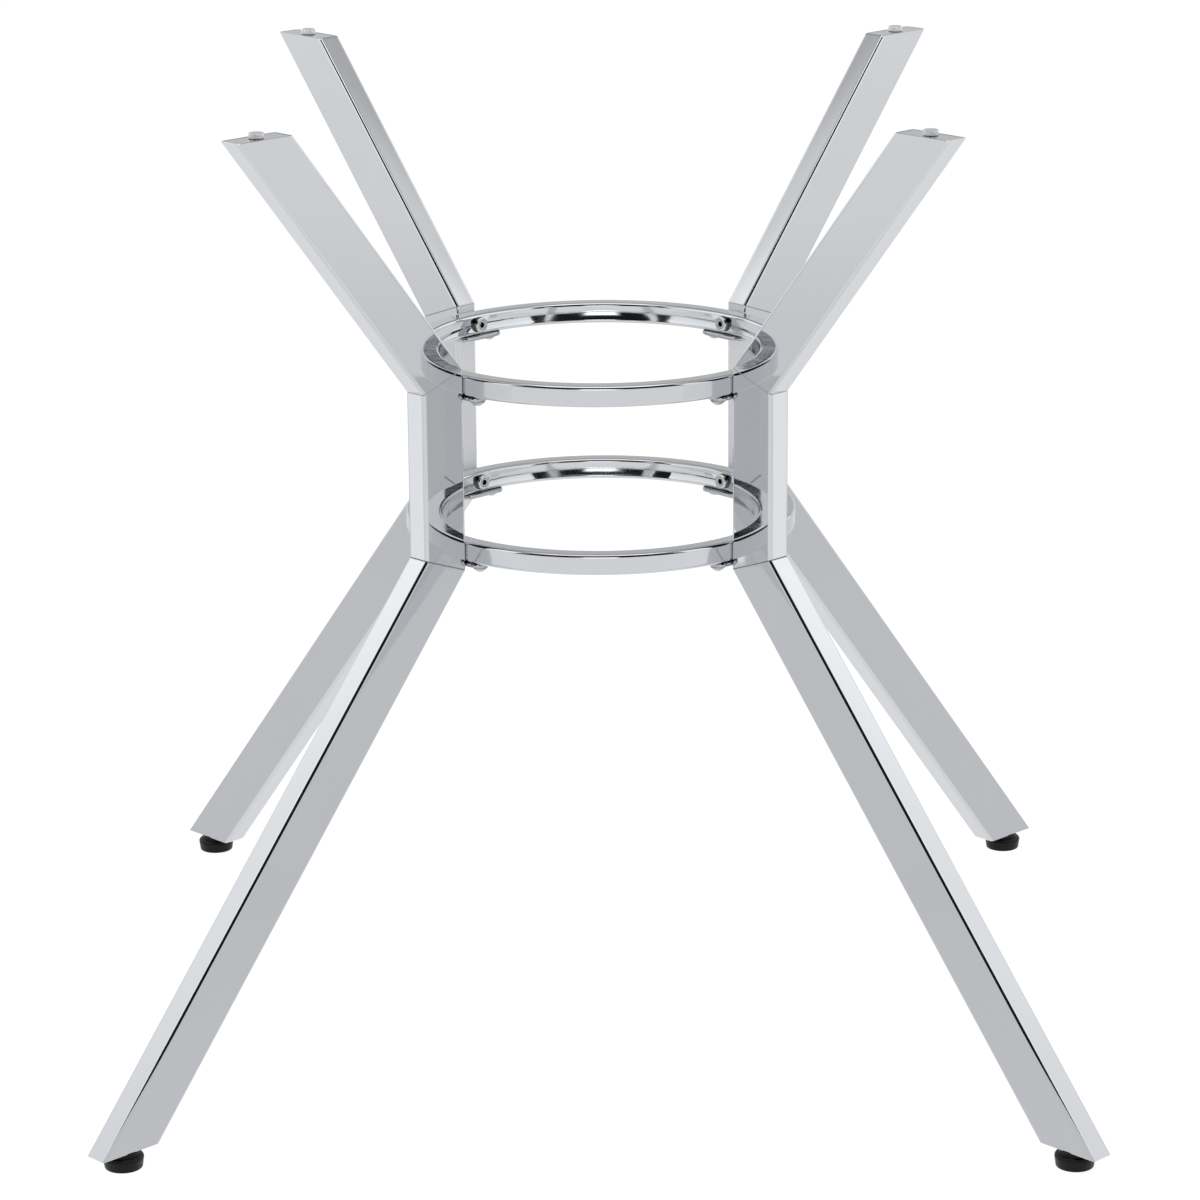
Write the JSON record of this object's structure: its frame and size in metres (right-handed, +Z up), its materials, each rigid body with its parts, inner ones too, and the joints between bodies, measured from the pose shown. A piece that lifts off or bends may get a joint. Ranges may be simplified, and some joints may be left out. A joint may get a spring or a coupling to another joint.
{
  "type": "table base",
  "caption": "Chromed tube table base with kinked legs bolted round two hoops, black glides below and clear bumpers on top to carry a round glass top.",
  "frame": {"origin": "on the floor, below the common centre of the two hoops", "axes": "+Z up, -Y towards the viewer of the picture, +X to that viewer's right; the legs stand at 45 degrees to X and Y"},
  "size_m": [0.7398, 0.7398, 0.74],
  "materials": {
    "chrome": "polished chrome plate",
    "bolt_steel": "bright zinc-plated steel",
    "plain_steel": "plain steel, hidden inside the tubes and glides",
    "black_plastic": "satin moulded black plastic",
    "clear_bumper": "clear soft plastic"
  },
  "bodies": {
    "root": {"foot_nuts": "plain_steel", "foot_studs": "plain_steel", "front_left_arm": "chrome", "front_left_bottom_plate": "chrome", "front_left_bumper": "clear_bumper", "front_left_foot": "black_plastic", "front_left_lower_leg": "chrome", "front_left_lower_tab": "chrome", "front_left_post": "chrome", "front_left_top_plate": "chrome", "front_left_upper_tab": "chrome", "front_right_arm": "chrome", "front_right_bottom_plate": "chrome", "front_right_bumper": "clear_bumper", "front_right_foot": "black_plastic", "front_right_lower_leg": "chrome", "front_right_lower_tab": "chrome", "front_right_post": "chrome", "front_right_top_plate": "chrome", "front_right_upper_tab": "chrome", "lower_hoop": "chrome", "lower_hoop_bolts": "bolt_steel", "lower_post_nuts": "plain_steel", "lower_tab_screws": "bolt_steel", "rear_left_arm": "chrome", "rear_left_bottom_plate": "chrome", "rear_left_bumper": "clear_bumper", "rear_left_foot": "black_plastic", "rear_left_lower_leg": "chrome", "rear_left_lower_tab": "chrome", "rear_left_post": "chrome", "rear_left_top_plate": "chrome", "rear_left_upper_tab": "chrome", "rear_right_arm": "chrome", "rear_right_bottom_plate": "chrome", "rear_right_bumper": "clear_bumper", "rear_right_foot": "black_plastic", "rear_right_lower_leg": "chrome", "rear_right_lower_tab": "chrome", "rear_right_post": "chrome", "rear_right_top_plate": "chrome", "rear_right_upper_tab": "chrome", "upper_hoop": "chrome", "upper_hoop_bolts": "bolt_steel", "upper_post_nuts": "plain_steel", "upper_tab_screws": "bolt_steel"}
  },
  "joints": []
}
